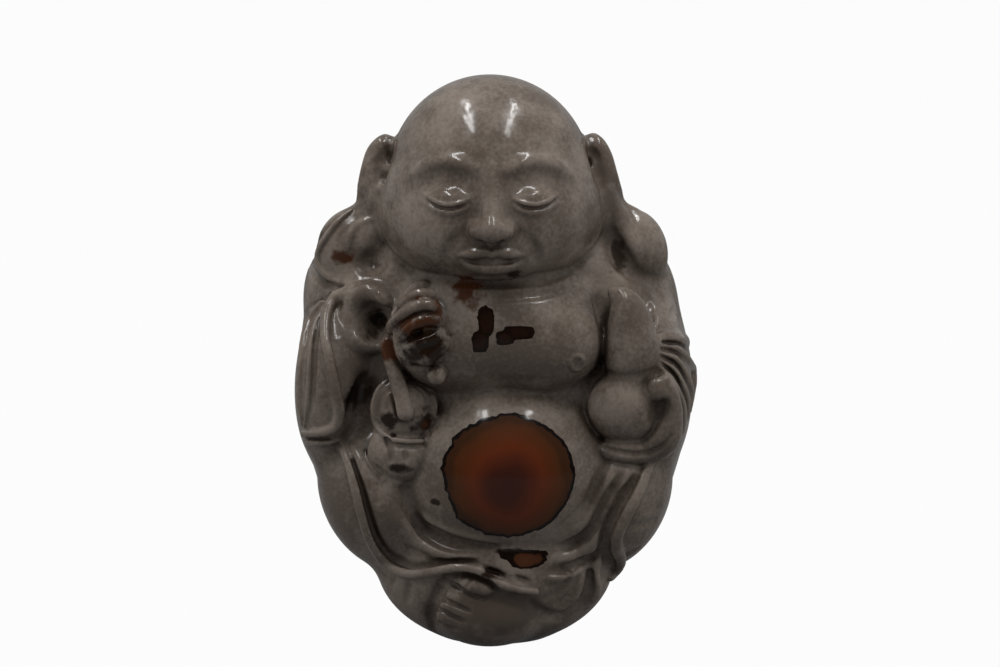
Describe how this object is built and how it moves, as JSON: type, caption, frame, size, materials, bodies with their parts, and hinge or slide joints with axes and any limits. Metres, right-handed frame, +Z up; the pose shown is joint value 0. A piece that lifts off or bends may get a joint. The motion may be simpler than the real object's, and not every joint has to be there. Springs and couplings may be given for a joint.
{
  "type": "laughing buddha figurine",
  "caption": "Egg-shaped polished stone figurine of a seated, big-bellied monk with long ears, holding a bottle gourd and a strapped pouch, with agate windows in its belly, chest and lap.",
  "frame": {"origin": "middle of the flat base, on the surface that the figurine stands on", "axes": "+Z up, the figure faces -Y, and its left hand is towards +X"},
  "size_m": [0.0714, 0.0519, 0.1],
  "materials": {
    "stone": "polished grey-brown stone, glossy on the high forms, with darker residue in the carved lines",
    "agate": "polished red-brown agate, almost black at its rim"
  },
  "bodies": {
    "root": {"belly_agate": "agate", "chest_agate": "agate", "lap_agate": "agate", "pouch_strap": "stone", "right_fist": "stone", "gourd": "stone", "left_hand": "stone", "pouch_bead": "stone", "pouch": "stone", "right_foot": "stone", "right_hem": "stone", "left_hem": "stone", "right_cuff": "stone", "head": "stone", "right_ear": "stone", "left_ear": "stone", "belly": "stone", "chest": "stone", "right_sleeve": "stone", "left_sleeve": "stone", "right_knee": "stone", "left_knee": "stone", "lap_robe": "stone", "robe_body": "stone"}
  },
  "joints": []
}
